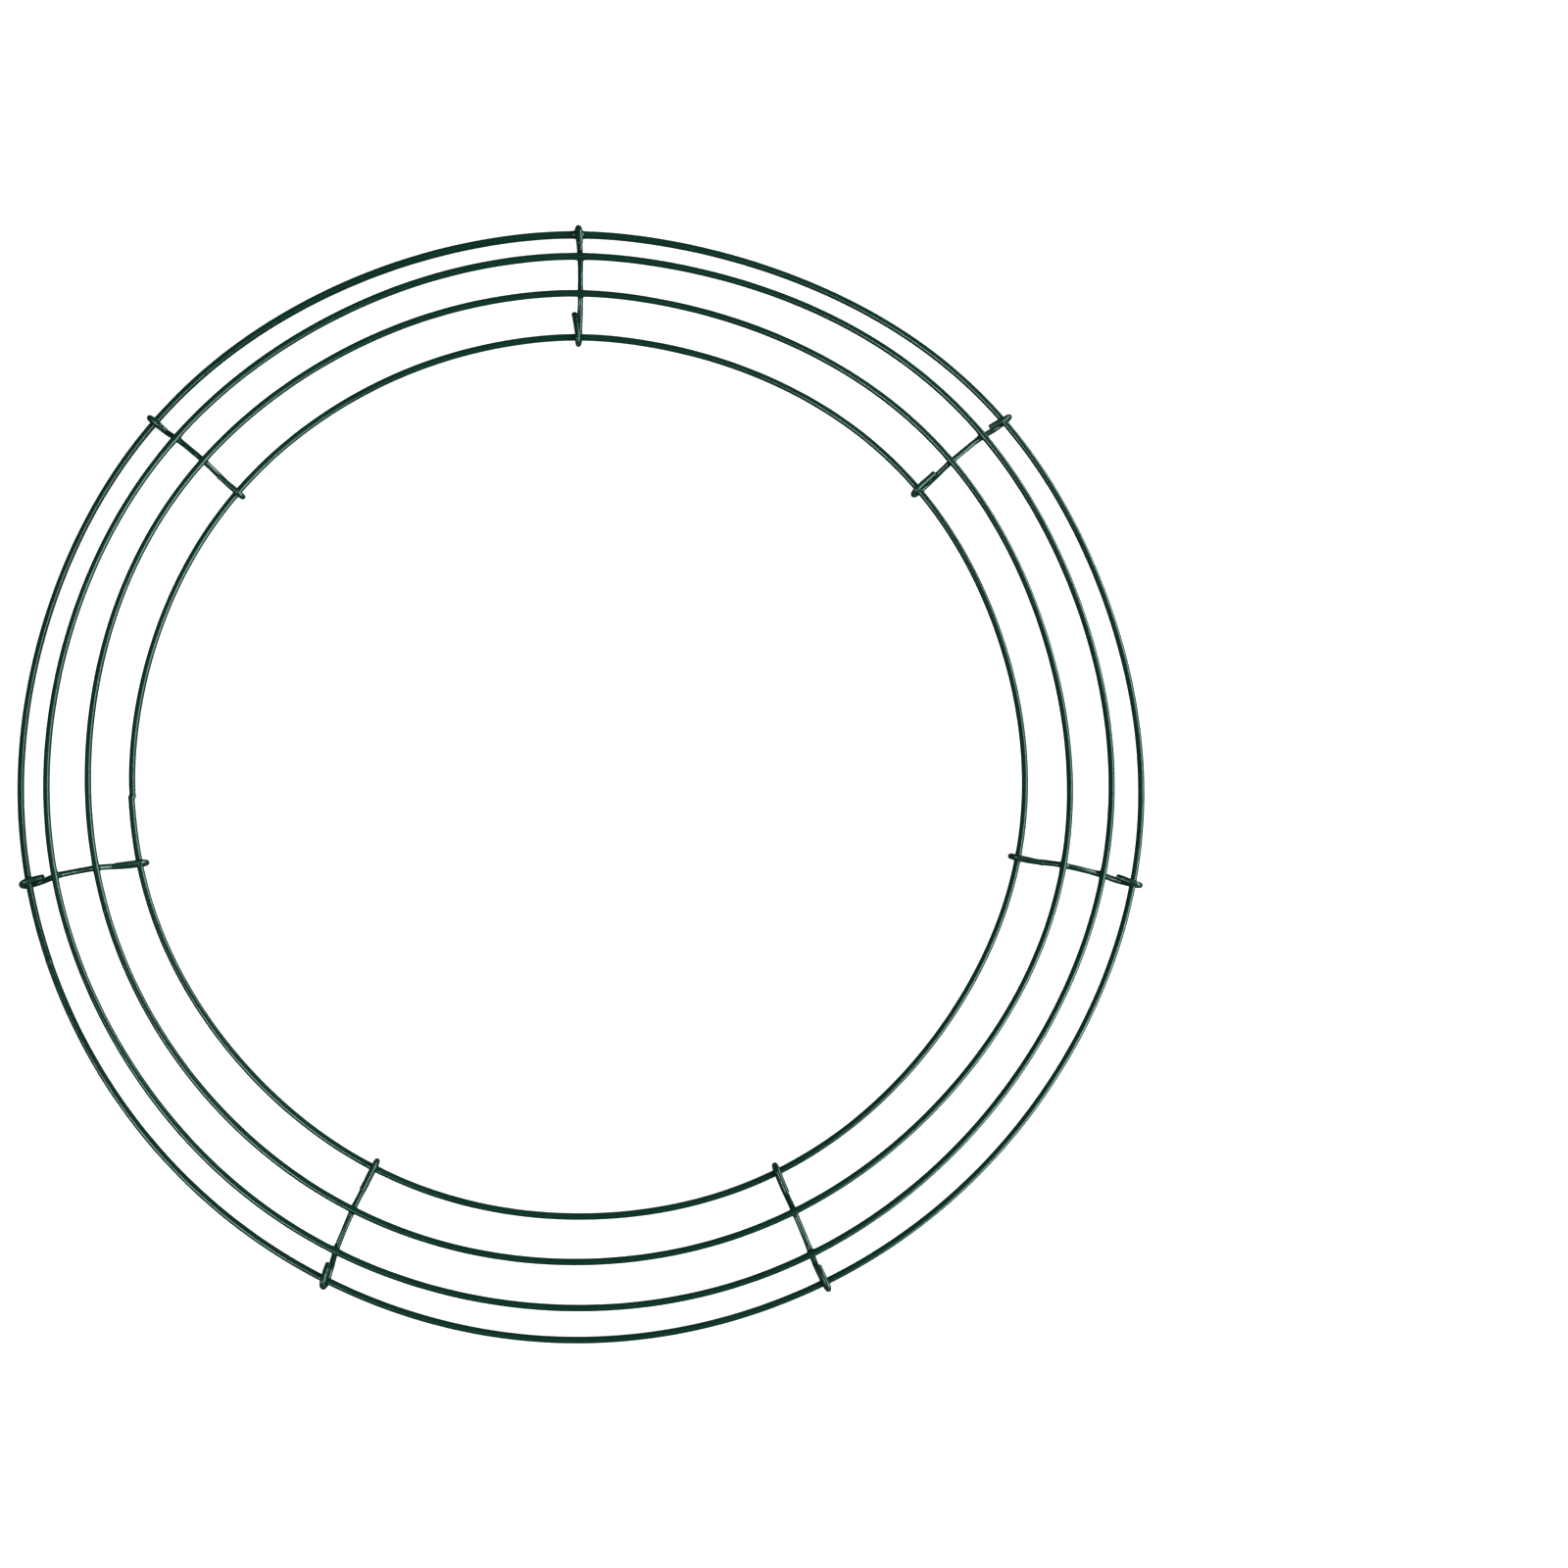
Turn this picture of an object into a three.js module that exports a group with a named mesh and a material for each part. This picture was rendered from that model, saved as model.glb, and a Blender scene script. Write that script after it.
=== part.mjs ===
// Wire wreath frame: four wire rings on seven arched crossbars.
//
// Millimetres, +Z up. The frame lies flat with its arch upwards, resting on the feet of its crossbars.
// The origin is under the middle of the rings, at the height of the surface the frame rests on.
// +Y points to crossbar_1, the one at the top when the frame hangs up.

import * as THREE from "three";

// ---- Wire ----
const ringWire = 1.8; // diameter of the rings' wire, with its coating
const barWire = 1.6; // diameter of the crossbars' wire, with its coating
const weldGap = 0.25; // left between a ring and the bar it is fixed to
const wireSides = 8; // sides of a wire's section, one of them facing straight down

// ---- Rings ----
// radius: of the wire's centre line. rise: height of the ring above the outer one.
// slope: of the bar under a middle ring, in degrees, positive where the bar climbs inwards.
const outerRing = { name: "outer_ring", radius: 151.5, rise: 0 };
const secondRing = { name: "second_ring", radius: 143.2, rise: 3.5, slope: 22 };
const thirdRing = { name: "third_ring", radius: 131.8, rise: 4.75, slope: -6 };
const innerRing = { name: "inner_ring", radius: 120.7, rise: 0 };
const rings = [outerRing, secondRing, thirdRing, innerRing];
const ringSteps = 91; // straight pieces round a ring

// The bars hold the hoops slightly out of round, all four alike.
// lobes: bulges round the hoop. depth: how far each stands out. first: angle of one bulge, in degrees.
const outOfRound = [
  { lobes: 3, depth: 0.25, first: 21 },
  { lobes: 4, depth: 0.1, first: 54 },
  { lobes: 5, depth: 0.16, first: 54 },
  { lobes: 6, depth: 0.12, first: 42 },
  { lobes: 7, depth: 0.22, first: 41.5 },
];

// ---- Crossbars ----
// turn: how far the bar sits from its even place round the rings, in degrees.
// lean: how far it is turned from pointing straight at the rings' middle, in degrees.
// outerTail, innerTail: how far a folded end lies to the bar's anticlockwise side, over its ring and at
// its cut end.
const bars = [
  { name: "crossbar_1", turn: -0.1, lean: 0.4, outerTail: [0, 0], innerTail: [0.4, 1.7] },
  { name: "crossbar_2", turn: -0.4, lean: -2, outerTail: [0, -0.2], innerTail: [0.3, 0.4] },
  { name: "crossbar_3", turn: 0, lean: -2.8, outerTail: [-0.8, -0.8], innerTail: [-0.3, -0.3] },
  { name: "crossbar_4", turn: -0.4, lean: 3.2, outerTail: [-0.8, -0.8], innerTail: [-0.5, -0.5] },
  { name: "crossbar_5", turn: -0.7, lean: -2.6, outerTail: [0.3, 0.4], innerTail: [0.5, 0.5] },
  { name: "crossbar_6", turn: 0.3, lean: -0.3, outerTail: [0.8, 0.8], innerTail: [-0.3, -0.4] },
  { name: "crossbar_7", turn: 0.4, lean: 1.4, outerTail: [0.9, 0.9], innerTail: [0.9, 1] },
];
const firstBarAngle = 90;
const footLength = 2.2; // the straight, level stretch beside each hook that the frame rests on
const outerTailRest = 2.2; // along the arch, from its foot to where the outer tail's end rests
const innerTailRest = 6.2; // the same for the inner tail
const tailGap = 0.25; // left between a tail and the bar it lies against
const barSteps = 60; // straight pieces along a bar

// ---- Worked out from the above ----
const ringRadius = ringWire / 2;
const barRadius = barWire / 2;
const hookRadius = ringRadius + barRadius + weldGap; // of a hook's centre line round its ring
const footHeight = barRadius * Math.cos(Math.PI / wireSides); // a bar's centre line where it rests
const outerRingHeight = footHeight + hookRadius;
const tailClear = barWire + tailGap; // between the centre lines of a tail and its bar
const barMiddle = (outerRing.radius + innerRing.radius) / 2; // the point a bar leans about

function enamel() {
  return new THREE.MeshStandardMaterial({ color: 0x12382b, roughness: 0.38, metalness: 0 });
}

// How far the hoops stand out from true circles at an angle.
function bulge(angle) {
  let out = 0;
  for (const wave of outOfRound) {
    const first = THREE.MathUtils.degToRad(wave.first);
    out += wave.depth * Math.cos(wave.lobes * (angle - first));
  }
  return out;
}

// The corners of a wire's section.
function wireCorners(radius) {
  const corners = [];
  for (let side = 0; side < wireSides; side += 1) {
    const angle = (side + 0.5) * 2 * Math.PI / wireSides;
    corners.push(new THREE.Vector2(radius * Math.cos(angle), radius * Math.sin(angle)));
  }
  return corners;
}

// ---- Rings ----

// A hoop of wire: its section turned about +Z, then pushed out of round.
function hoopGeometry(radius) {
  const profile = wireCorners(ringRadius);
  profile.forEach((corner) => corner.setX(corner.x + radius));
  profile.push(profile[0].clone());
  const hoop = new THREE.LatheGeometry(profile, ringSteps);
  hoop.rotateX(Math.PI / 2);
  const spots = hoop.attributes.position;
  for (let i = 0; i < spots.count; i += 1) {
    const angle = Math.atan2(spots.getY(i), spots.getX(i));
    const out = bulge(angle);
    spots.setX(i, spots.getX(i) + out * Math.cos(angle));
    spots.setY(i, spots.getY(i) + out * Math.sin(angle));
  }
  hoop.computeVertexNormals();
  return hoop;
}

function makeRing(ring) {
  const hoop = new THREE.Mesh(hoopGeometry(ring.radius), enamel());
  hoop.name = ring.name;
  hoop.position.z = outerRingHeight + ring.rise;
  return hoop;
}

// ---- Crossbars ----
// A bar is drawn in its own upright plane: +X away from the rings' middle, +Z up, +Y anticlockwise.

// A hook's centre line: half a turn round a ring, between under it and over it.
// outwards: 1 for a hook round the outer ring, -1 for one round the inner ring.
class HookCurve extends THREE.Curve {
  constructor(ring, outwards, sideways, fromTop) {
    super();
    this.ring = ring;
    this.outwards = outwards;
    this.sideways = sideways;
    this.fromTop = fromTop;
  }

  getPoint(t, target = new THREE.Vector3()) {
    const turn = Math.PI * (this.fromTop ? 1 - t : t);
    return target.set(
      this.ring.radius + this.outwards * hookRadius * Math.sin(turn),
      this.sideways * (1 - Math.cos(turn)) / 2,
      outerRingHeight - hookRadius * Math.cos(turn),
    );
  }
}

// Where the bar passes under a ring, with the direction it runs in there, inwards.
function seatUnder(ring) {
  const slope = THREE.MathUtils.degToRad(ring.slope);
  return {
    spot: new THREE.Vector3(
      ring.radius - hookRadius * Math.sin(slope),
      0,
      outerRingHeight + ring.rise - hookRadius * Math.cos(slope),
    ),
    along: new THREE.Vector3(-Math.cos(slope), 0, Math.sin(slope)),
  };
}

// The arch between the two feet: one smooth curve that passes under both middle rings.
function archPath() {
  const inwards = new THREE.Vector3(-1, 0, 0);
  const outerFoot = new THREE.Vector3(outerRing.radius - footLength, 0, footHeight);
  const innerFoot = new THREE.Vector3(innerRing.radius + footLength, 0, footHeight);
  const seats = [
    { spot: outerFoot, along: inwards },
    seatUnder(secondRing),
    seatUnder(thirdRing),
    { spot: innerFoot, along: inwards },
  ];
  const arch = new THREE.CurvePath();
  for (let i = 1; i < seats.length; i += 1) {
    const from = seats[i - 1];
    const to = seats[i];
    const handle = from.spot.distanceTo(to.spot) / 3;
    const leave = from.spot.clone().addScaledVector(from.along, handle);
    const arrive = to.spot.clone().addScaledVector(to.along, -handle);
    arch.add(new THREE.CubicBezierCurve3(from.spot, leave, arrive, to.spot));
  }
  return arch;
}

// Where a tail's end comes to rest: on top of the bar, or down against its side.
function tailEnd(arch, distanceAlong, sideways) {
  const share = distanceAlong / arch.getLength();
  const spot = arch.getPointAt(share);
  const along = arch.getTangentAt(share);
  const up = new THREE.Vector3(along.z, 0, -along.x);
  const lift = Math.sqrt(Math.max(0, tailClear ** 2 - sideways ** 2));
  return spot.addScaledVector(up, lift).setY(sideways);
}

// The corner point that bends a tail from level, over its ring, down to its end.
function tailBend(overRing, end) {
  return new THREE.Vector3((overRing.x + end.x) / 2, (overRing.y + end.y) / 2, overRing.z);
}

function barPath(bar) {
  const arch = archPath();
  const [outerSide, outerEndSide] = bar.outerTail;
  const [innerSide, innerEndSide] = bar.innerTail;
  const outerHook = new HookCurve(outerRing, 1, outerSide, true);
  const innerHook = new HookCurve(innerRing, -1, innerSide, false);
  const overOuter = outerHook.getPoint(0);
  const underOuter = outerHook.getPoint(1);
  const underInner = innerHook.getPoint(0);
  const overInner = innerHook.getPoint(1);
  const outerEnd = tailEnd(arch, outerTailRest, outerEndSide);
  const innerEnd = tailEnd(arch, arch.getLength() - innerTailRest, innerEndSide);

  const path = new THREE.CurvePath();
  path.add(new THREE.QuadraticBezierCurve3(outerEnd, tailBend(overOuter, outerEnd), overOuter));
  path.add(outerHook);
  path.add(new THREE.LineCurve3(underOuter, arch.getPoint(0)));
  arch.curves.forEach((piece) => path.add(piece));
  path.add(new THREE.LineCurve3(arch.getPoint(1), underInner));
  path.add(innerHook);
  path.add(new THREE.QuadraticBezierCurve3(overInner, tailBend(overInner, innerEnd), innerEnd));
  return path;
}

function makeBar(bar, index) {
  const section = new THREE.Shape(wireCorners(barRadius));
  const wire = new THREE.ExtrudeGeometry(section, { steps: barSteps, extrudePath: barPath(bar) });
  wire.translate(-barMiddle, 0, 0);
  const mesh = new THREE.Mesh(wire, enamel());
  mesh.name = bar.name;
  mesh.rotation.z = THREE.MathUtils.degToRad(bar.lean);

  const angle = THREE.MathUtils.degToRad(firstBarAngle + index * 360 / bars.length + bar.turn);
  mesh.position.x = barMiddle + bulge(angle);
  const place = new THREE.Group();
  place.rotation.z = angle;
  place.add(mesh);
  return place;
}

// ---- The frame ----
const frame = new THREE.Group();
rings.forEach((ring) => frame.add(makeRing(ring)));
bars.forEach((bar, index) => frame.add(makeBar(bar, index)));

export default frame;
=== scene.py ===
import math

import bpy
import numpy as np
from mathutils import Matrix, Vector


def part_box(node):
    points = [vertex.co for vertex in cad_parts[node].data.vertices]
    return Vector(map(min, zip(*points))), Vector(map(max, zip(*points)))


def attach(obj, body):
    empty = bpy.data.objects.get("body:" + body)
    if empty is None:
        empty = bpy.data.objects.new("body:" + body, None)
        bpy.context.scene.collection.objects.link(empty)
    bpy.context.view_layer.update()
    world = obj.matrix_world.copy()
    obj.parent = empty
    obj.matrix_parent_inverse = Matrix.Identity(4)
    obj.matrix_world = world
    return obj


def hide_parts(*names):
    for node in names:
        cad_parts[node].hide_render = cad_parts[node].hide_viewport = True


# A round wire wreath frame: four hoops on seven arched crossbars, all dipped in dark green enamel.
# The wires' middle lines are worked out below. One node tree then lays the coated wire on each line.

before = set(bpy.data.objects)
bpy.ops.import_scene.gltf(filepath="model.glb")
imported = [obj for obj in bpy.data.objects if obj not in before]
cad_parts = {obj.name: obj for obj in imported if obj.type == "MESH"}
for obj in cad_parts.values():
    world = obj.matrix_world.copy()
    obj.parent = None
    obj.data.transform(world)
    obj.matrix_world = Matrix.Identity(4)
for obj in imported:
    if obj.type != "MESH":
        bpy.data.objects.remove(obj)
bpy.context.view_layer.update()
mm = 0.001
scene = bpy.context.scene


class NodeBench:
    # Short calls for building a node tree.
    def __init__(self, tree):
        self.tree = tree

    def add(self, kind, inputs=None, **settings):
        node = self.tree.nodes.new(kind)
        for name, value in settings.items():
            setattr(node, name, value)
        for socket, value in (inputs or {}).items():
            self.feed(node.inputs[socket], value)
        return node

    def feed(self, socket, value):
        if isinstance(value, bpy.types.NodeSocket):
            self.tree.links.new(value, socket)
        else:
            socket.default_value = value

    def calc(self, operation, *values, clamp=False):
        node = self.add("ShaderNodeMath", operation=operation, use_clamp=clamp)
        for socket, value in zip(node.inputs, values):
            self.feed(socket, value)
        return node.outputs[0]

    def vector(self, operation, *values):
        node = self.add("ShaderNodeVectorMath", operation=operation)
        for socket, value in zip(node.inputs, values):
            self.feed(socket, value)
        return node.outputs[1 if operation in ("DOT_PRODUCT", "LENGTH") else 0]

    def scaled(self, vector, factor):
        return self.add("ShaderNodeVectorMath", {0: vector, 3: factor}, operation="SCALE").outputs[0]

    def ranged(self, value, low, high, toLow=0.0, toHigh=1.0):
        inputs = {0: value, 1: low, 2: high, 3: toLow, 4: toHigh}
        return self.add("ShaderNodeMapRange", inputs, interpolation_type="SMOOTHSTEP").outputs[0]

    def nearest(self, geometry, place):
        inputs = {0: geometry, 2: place}
        return self.add("GeometryNodeProximity", inputs, target_element="EDGES").outputs

    def attribute(self, name, kind="FLOAT"):
        return self.add("GeometryNodeInputNamedAttribute", {0: name}, data_type=kind).outputs[0]

    def store(self, geometry, name, value, kind="FLOAT"):
        inputs = {"Geometry": geometry, "Name": name, "Value": value}
        return self.add("GeometryNodeStoreNamedAttribute", inputs, data_type=kind, domain="POINT").outputs[0]

    def finish(self, *values):
        end = self.add("NodeGroupOutput")
        for socket, value in zip(end.inputs, values):
            self.feed(socket, value)


def newTree(name, kind, takes, gives):
    # takes: (name, socket kind, usual value) of each input. gives: (name, socket kind) of each output.
    tree = bpy.data.node_groups.new(name, kind)
    for label, socketKind, usual in takes:
        socket = tree.interface.new_socket(label, in_out="INPUT", socket_type=socketKind)
        if usual is not None:
            socket.default_value = usual
    for label, socketKind in gives:
        tree.interface.new_socket(label, in_out="OUTPUT", socket_type=socketKind)
    return NodeBench(tree), tree.nodes.new("NodeGroupInput").outputs


def settleCoatTree():
    # One step of the wet coat pulling tight over wires that touch. Each point of the skin knows the middle
    # of its own wire, and moves to where the wires' skins, run together, would be.
    apart = 9 * mm  # so far off, a wire's own folded end or run has no pull on the coat
    foldStart = 0.2
    leastSlope = 0.15
    longestMove = 1.5  # in one step, as a share of the pool
    bench, given = newTree(
        "settleCoat",
        "GeometryNodeTree",
        [
            ("Geometry", "NodeSocketGeometry", None),
            ("Other Wires", "NodeSocketGeometry", None),
            ("Other Radius", "NodeSocketFloat", 0.9 * mm),
            ("Straight Run", "NodeSocketGeometry", None),
            ("Folded Ends", "NodeSocketGeometry", None),
            ("Run Radius", "NodeSocketFloat", 0.8 * mm),
            ("Pool Size", "NodeSocketFloat", 0.35 * mm),
        ],
        [("Geometry", "NodeSocketGeometry")],
    )
    place = bench.add("GeometryNodeInputPosition").outputs[0]
    pool = bench.calc("MULTIPLY", given["Pool Size"], bench.attribute("poolShare"))

    def skin(spot, radius):  # distance from a wire's skin, and the way out of it
        away = bench.vector("SUBTRACT", place, spot)
        return bench.calc("SUBTRACT", bench.vector("LENGTH", away), radius), bench.vector("NORMALIZE", away)

    def wireSkin(wires, radius):
        return skin(bench.nearest(given[wires], place)[0], given[radius])

    ownDistance, ownWay = skin(bench.attribute("middle", "FLOAT_VECTOR"), bench.attribute("skinRadius"))
    otherDistance, otherWay = wireSkin("Other Wires", "Other Radius")
    runDistance, runWay = wireSkin("Straight Run", "Run Radius")
    endDistance, endWay = wireSkin("Folded Ends", "Run Radius")
    fold = bench.attribute("fold")  # 1 on a folded end, -1 on the run under it, 0 at the hooks
    runDistance = bench.calc("ADD", runDistance, bench.ranged(fold, foldStart, 1.0, apart, 0.0))
    endDistance = bench.calc("ADD", endDistance, bench.ranged(fold, -1.0, -foldStart, 0.0, apart))

    total = None
    way = None
    skins = [
        (ownDistance, ownWay),
        (otherDistance, otherWay),
        (runDistance, runWay),
        (endDistance, endWay),
    ]
    for distance, direction in skins:
        weight = bench.calc("EXPONENT", bench.calc("DIVIDE", bench.calc("MULTIPLY", distance, -1.0), pool))
        pull = bench.scaled(direction, weight)
        total = weight if total is None else bench.calc("ADD", total, weight)
        way = pull if way is None else bench.vector("ADD", way, pull)
    value = bench.calc("MULTIPLY", bench.calc("LOGARITHM", total, math.e), pool)
    value = bench.calc("MULTIPLY", value, -1.0)
    slope = bench.scaled(way, bench.calc("DIVIDE", 1.0, total))
    steepness = bench.calc("MAXIMUM", bench.vector("DOT_PRODUCT", slope, slope), leastSlope)
    reach = bench.calc("MULTIPLY", bench.calc("DIVIDE", value, steepness), -1.0)
    reach = bench.calc("MAXIMUM", reach, 0.0)
    reach = bench.calc("MINIMUM", reach, bench.calc("MULTIPLY", pool, longestMove))
    inputs = {"Geometry": given["Geometry"], "Offset": bench.scaled(slope, reach)}
    bench.finish(bench.add("GeometryNodeSetPosition", inputs).outputs[0])
    return bench.tree


def coatedWireTree(settleCoat):
    settleSteps = 5
    pooledReach = 1.6 * mm  # how far from another wire the coat still counts as pooled
    noiseDetail = 2.0
    noiseRoughness = 0.55
    lumpShift = 0.371  # how far each seed moves the two noises
    grainShift = 0.173
    smallestNib = 0.45  # as a share of the nib radius
    nibHeight = 0.55
    bench, given = newTree(
        "coatedWire",
        "GeometryNodeTree",
        [
            ("Geometry", "NodeSocketGeometry", None),
            ("Wire Radius", "NodeSocketFloat", 0.9 * mm),
            ("Sides", "NodeSocketInt", 20),
            ("Other Wires", "NodeSocketObject", None),
            ("Other Radius", "NodeSocketFloat", 0.9 * mm),
            ("Straight Run", "NodeSocketObject", None),
            ("Folded Ends", "NodeSocketObject", None),
            ("Fold Slack", "NodeSocketFloat", 0.1 * mm),
            ("Pool Size", "NodeSocketFloat", 0.35 * mm),
            ("Lump Size", "NodeSocketFloat", 4 * mm),
            ("Lump Height", "NodeSocketFloat", 0.04 * mm),
            ("Grain Size", "NodeSocketFloat", 0.8 * mm),
            ("Grain Height", "NodeSocketFloat", 0.01 * mm),
            ("Nib Density", "NodeSocketFloat", 20000.0),
            ("Nib Radius", "NodeSocketFloat", 0.1 * mm),
            ("Seed", "NodeSocketInt", 1),
            ("Material", "NodeSocketMaterial", None),
        ],
        [("Geometry", "NodeSocketGeometry")],
    )
    place = bench.add("GeometryNodeInputPosition").outputs[0]
    radius = given["Wire Radius"]

    # The wire: a round section along the line.
    line = bench.add("GeometryNodeMeshToCurve", {"Mesh": given["Geometry"]}).outputs[0]
    line = bench.store(line, "middle", place, "FLOAT_VECTOR")
    section = bench.add("GeometryNodeCurvePrimitiveCircle", {"Resolution": given["Sides"], "Radius": radius})
    coat = bench.attribute("coat")
    inputs = {"Curve": line, "Profile Curve": section.outputs[0], "Scale": coat, "Fill Caps": True}
    wire = bench.add("GeometryNodeCurveToMesh", inputs).outputs[0]
    wire = bench.store(wire, "skinRadius", bench.calc("MULTIPLY", radius, coat))

    # The coat, drawn into the corners where wires touch.
    def objectMesh(label):
        inputs = {"Object": given[label]}
        return bench.add("GeometryNodeObjectInfo", inputs, transform_space="ORIGINAL").outputs["Geometry"]

    others = objectMesh("Other Wires")
    inputs = {
        "Other Wires": others,
        "Straight Run": objectMesh("Straight Run"),
        "Folded Ends": objectMesh("Folded Ends"),
        "Other Radius": given["Other Radius"],
        "Run Radius": bench.calc("SUBTRACT", radius, given["Fold Slack"]),
        "Pool Size": given["Pool Size"],
    }
    for step in range(settleSteps):
        wire = bench.add("GeometryNodeGroup", {"Geometry": wire, **inputs}, node_tree=settleCoat).outputs[0]

    # How near the skin is to another wire, kept for the materials: there the coat is glossier, and the green
    # is darker, partly for thick pooled coat and partly as painted shade where the wires meet.
    near = bench.nearest(others, place)["Distance"]
    gap = bench.calc("SUBTRACT", near, given["Other Radius"])
    wire = bench.store(wire, "pooled", bench.ranged(gap, 0.0, pooledReach, 1.0, 0.0))

    # The coat's own unevenness.
    def lumps(size, seedStep, height):
        shift = bench.add("ShaderNodeCombineXYZ", {0: bench.calc("MULTIPLY", given["Seed"], seedStep)})
        inputs = {
            "Vector": bench.vector("ADD", place, shift.outputs[0]),
            "Scale": bench.calc("DIVIDE", 1.0, given[size]),
            "Detail": noiseDetail,
            "Roughness": noiseRoughness,
        }
        noise = bench.add("ShaderNodeTexNoise", inputs).outputs["Fac"]
        swing = bench.calc("MULTIPLY", bench.calc("SUBTRACT", noise, 0.5), 2.0)
        return bench.calc("MULTIPLY", swing, given[height])

    coarse = lumps("Lump Size", lumpShift, "Lump Height")
    fine = lumps("Grain Size", grainShift, "Grain Height")
    normal = bench.add("GeometryNodeInputNormal").outputs[0]
    inputs = {"Geometry": wire, "Offset": bench.scaled(normal, bench.calc("ADD", coarse, fine))}
    wire = bench.add("GeometryNodeSetPosition", inputs).outputs[0]

    # Nibs: grains of dust and tiny bubbles caught in the coat.
    inputs = {"Mesh": wire, "Density": given["Nib Density"], "Seed": given["Seed"]}
    spots = bench.add("GeometryNodeDistributePointsOnFaces", inputs, distribute_method="RANDOM")
    inputs = {"Radius": given["Nib Radius"], "Subdivisions": 2}
    nib = bench.add("GeometryNodeMeshIcoSphere", inputs).outputs[0]
    inputs = {2: smallestNib, 3: 1.0, "Seed": given["Seed"]}
    spread = bench.add("FunctionNodeRandomValue", inputs, data_type="FLOAT").outputs[1]
    flat = bench.add("ShaderNodeCombineXYZ", {0: 1.0, 1: 1.0, 2: nibHeight}).outputs[0]
    inputs = {
        "Points": spots.outputs["Points"],
        "Instance": nib,
        "Rotation": spots.outputs["Rotation"],
        "Scale": bench.scaled(flat, spread),
    }
    nibs = bench.add("GeometryNodeInstanceOnPoints", inputs).outputs[0]
    joined = bench.add("GeometryNodeJoinGeometry")
    bench.tree.links.new(nibs, joined.inputs[0])
    bench.tree.links.new(wire, joined.inputs[0])

    smooth = bench.add("GeometryNodeSetShadeSmooth", {"Geometry": joined.outputs[0]}).outputs[0]
    real = bench.add("GeometryNodeRealizeInstances", {"Geometry": smooth}).outputs[0]
    inputs = {"Geometry": real, "Material": given["Material"]}
    bench.finish(bench.add("GeometryNodeSetMaterial", inputs).outputs[0])
    return bench.tree


def enamelToneTree():
    # The green, a little lighter and greyer in slow patches, and darker near other wires: partly the deeper
    # tone of thick pooled coat, partly painted shade where the wires meet.
    patchEdges = (0.35, 0.7)  # where in the noise a patch starts and is full
    pooledShadeShare = 0.6  # share of the darker green near other wires: thick pooled coat, and painted shade in the crevice
    bench, given = newTree(
        "enamelTone",
        "ShaderNodeTree",
        [
            ("Place", "NodeSocketVector", None),
            ("Pooled", "NodeSocketFloat", 0.0),
            ("Green", "NodeSocketColor", (0.01, 0.07, 0.04, 1)),
            ("Faded Green", "NodeSocketColor", (0.02, 0.09, 0.06, 1)),
            ("Pooled Shade Green", "NodeSocketColor", (0.005, 0.04, 0.025, 1)),
            ("Patch Size", "NodeSocketFloat", 0.01),
            ("Fading", "NodeSocketFloat", 0.5),
        ],
        [("Color", "NodeSocketColor"), ("Fade", "NodeSocketFloat")],
    )
    inputs = {
        "Vector": given["Place"],
        "Scale": bench.calc("DIVIDE", 1.0, given["Patch Size"]),
        "Detail": 4.0,
        "Roughness": 0.6,
    }
    patches = bench.add("ShaderNodeTexNoise", inputs).outputs["Fac"]
    fade = bench.calc("MULTIPLY", bench.ranged(patches, *patchEdges), given["Fading"], clamp=True)
    inputs = {0: fade, 6: given["Green"], 7: given["Faded Green"]}
    tone = bench.add("ShaderNodeMix", inputs, data_type="RGBA").outputs[2]
    # painted shade near other wires, together with the deeper tone of pooled coat
    pooledShadeMix = bench.calc("MULTIPLY", given["Pooled"], pooledShadeShare, clamp=True)
    inputs = {0: pooledShadeMix, 6: tone, 7: given["Pooled Shade Green"]}
    tone = bench.add("ShaderNodeMix", inputs, data_type="RGBA").outputs[2]
    bench.finish(tone, fade)
    return bench.tree


def coatSkinTree():
    # The relief of the dried coat: a soft ripple, a fine grain and pin-holes left by bubbles.
    rippleDetail = 1.0
    grainDetail = 3.0
    pinholeEdges = (0.05, 0.16)  # of a pin-hole's wall, as shares of its cell
    bench, given = newTree(
        "coatSkin",
        "ShaderNodeTree",
        [
            ("Place", "NodeSocketVector", None),
            ("Ripple Size", "NodeSocketFloat", 1.5 * mm),
            ("Ripple", "NodeSocketFloat", 1.0),
            ("Grain Size", "NodeSocketFloat", 0.25 * mm),
            ("Grain", "NodeSocketFloat", 0.4),
            ("Pinhole Size", "NodeSocketFloat", 1.2 * mm),
            ("Pinholes", "NodeSocketFloat", 0.5),
        ],
        [("Height", "NodeSocketFloat")],
    )

    def relief(size, detail, height):
        inputs = {
            "Vector": given["Place"],
            "Scale": bench.calc("DIVIDE", 1.0, given[size]),
            "Detail": detail,
        }
        noise = bench.add("ShaderNodeTexNoise", inputs).outputs["Fac"]
        return bench.calc("MULTIPLY", bench.calc("SUBTRACT", noise, 0.5), given[height])

    ripple = relief("Ripple Size", rippleDetail, "Ripple")
    grain = relief("Grain Size", grainDetail, "Grain")
    inputs = {"Vector": given["Place"], "Scale": bench.calc("DIVIDE", 1.0, given["Pinhole Size"])}
    cells = bench.add("ShaderNodeTexVoronoi", inputs, feature="F1").outputs["Distance"]
    pits = bench.calc("MULTIPLY", bench.ranged(cells, *pinholeEdges, 1.0, 0.0), given["Pinholes"])
    bench.finish(bench.calc("SUBTRACT", bench.calc("ADD", ripple, grain), pits))
    return bench.tree


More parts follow.
